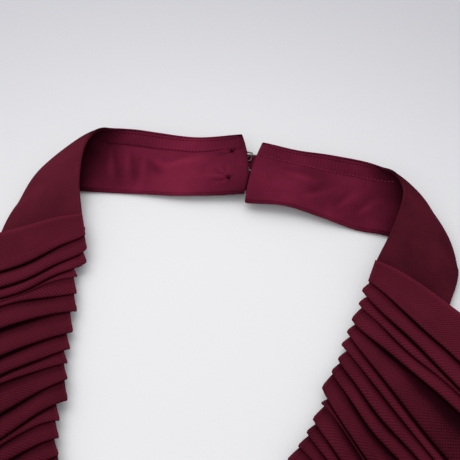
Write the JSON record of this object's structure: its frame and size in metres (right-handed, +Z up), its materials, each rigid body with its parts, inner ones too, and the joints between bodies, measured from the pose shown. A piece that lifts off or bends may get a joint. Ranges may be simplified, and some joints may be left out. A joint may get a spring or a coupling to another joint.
{
  "type": "maxi dress",
  "caption": "Full-length halter dress laid flat with its front up: knife-pleated V-neck front, low back, neckband closing at the nape with hooks and eyes, long A-line skirt.",
  "frame": {"origin": "middle of the dress's outline, on the surface it lies on", "axes": "+Y from hem to neck along the dress, +X to the right seen from above, +Z up off the surface"},
  "size_m": [0.68, 1.4628, 0.0181],
  "materials": {
    "pleated_mesh": "fine matt mesh in deep wine, knife-pleated, see-through where it is one layer",
    "skirt_mesh": "fine matt mesh in deep wine over a backing of the same colour",
    "band_cloth": "matt mesh-faced cloth in deep wine, doubled, with turned edges",
    "lining_cloth": "smooth plain-woven lining in deep wine",
    "hook_steel": "plain bright wire"
  },
  "bodies": {
    "root": {"neckband_left": "band_cloth", "neckband_facing_left": "lining_cloth", "bodice_front_left": "pleated_mesh", "neckband_right": "band_cloth", "neckband_facing_right": "lining_cloth", "bodice_front_right": "pleated_mesh", "bodice_back": "pleated_mesh", "skirt_front": "skirt_mesh", "skirt_back": "skirt_mesh", "closure_underlap": "lining_cloth", "hook_upper": "hook_steel", "eye_upper": "hook_steel", "hook_lower": "hook_steel", "eye_lower": "hook_steel"}
  },
  "joints": []
}
